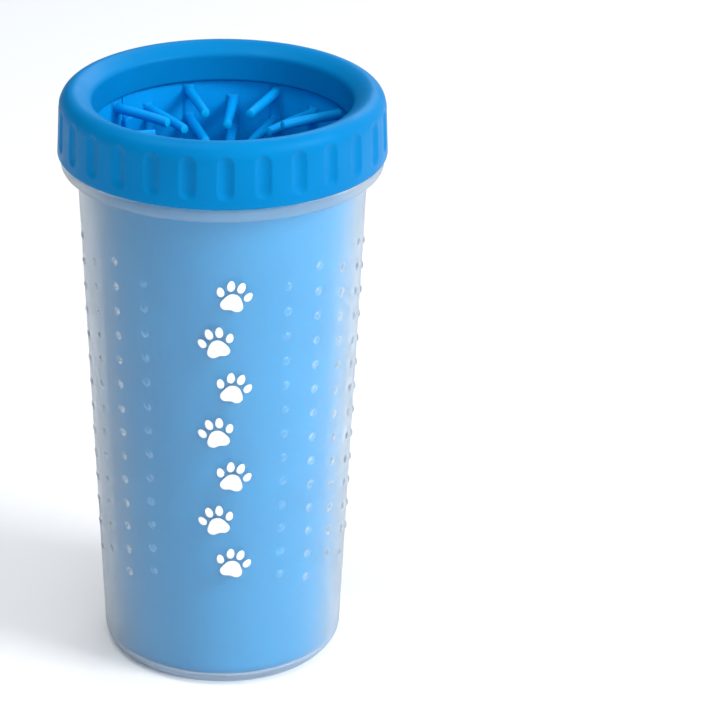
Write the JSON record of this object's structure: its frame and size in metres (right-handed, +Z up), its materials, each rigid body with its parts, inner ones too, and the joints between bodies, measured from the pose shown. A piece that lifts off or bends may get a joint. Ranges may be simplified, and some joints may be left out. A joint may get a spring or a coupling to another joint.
{
  "type": "paw washer cup",
  "caption": "Tapered frosted cup with a grooved screw-on ring lid and a removable rolled silicone insert whose soft bristles point inwards, for rinsing mud off a pet's paw.",
  "frame": {"origin": "centre of the base, on the surface that the cup stands on", "axes": "+Z up along the cup's axis and out of its mouth; -Y is the front, where the print panel is; +X is to the right of it"},
  "size_m": [0.1, 0.1, 0.1854],
  "materials": {
    "frosted_plastic": "frosted, translucent",
    "lid_plastic": "satin",
    "seal_silicone": "matt",
    "insert_silicone": "matt",
    "bristle_silicone": "matt"
  },
  "bodies": {
    "cup": {"cup_body": "frosted_plastic"},
    "insert": {"insert_sheet": "insert_silicone", "seam_tab_1": "insert_silicone", "seam_tab_2": "insert_silicone", "seam_tab_3": "insert_silicone", "seam_tab_4": "insert_silicone", "bristle_column_01": "bristle_silicone", "bristle_column_02": "bristle_silicone", "bristle_column_03": "bristle_silicone", "bristle_column_04": "bristle_silicone", "bristle_column_05": "bristle_silicone", "bristle_column_06": "bristle_silicone", "bristle_column_07": "bristle_silicone", "bristle_column_08": "bristle_silicone", "bristle_column_09": "bristle_silicone", "bristle_column_10": "bristle_silicone", "bristle_column_11": "bristle_silicone", "bristle_column_12": "bristle_silicone", "bristle_column_13": "bristle_silicone", "bristle_column_14": "bristle_silicone", "bristle_column_15": "bristle_silicone", "bristle_column_16": "bristle_silicone", "bristle_column_17": "bristle_silicone", "bristle_column_18": "bristle_silicone"},
    "seal": {"lid_seal": "seal_silicone"},
    "lid": {"lid_ring": "lid_plastic"}
  },
  "joints": [
    {"name": "insert_lift", "type": "slide", "parent": "cup", "child": "insert", "axis": [0, 0, 1], "range_m": [0, 0.178]},
    {"name": "lid_rise", "type": "slide", "parent": "insert", "child": "seal", "axis": [0, 0, 1], "range_m": [0, 0.012]},
    {"name": "lid_turn", "type": "hinge", "parent": "seal", "child": "lid", "pos_m": [0, 0, 0.1655], "axis": [0, 0, 1], "range_deg": [0, 720]}
  ],
  "couplings": [
    {"joint": "lid_rise", "follows": "lid_turn", "m_per_rad": 0.00095493}
  ]
}
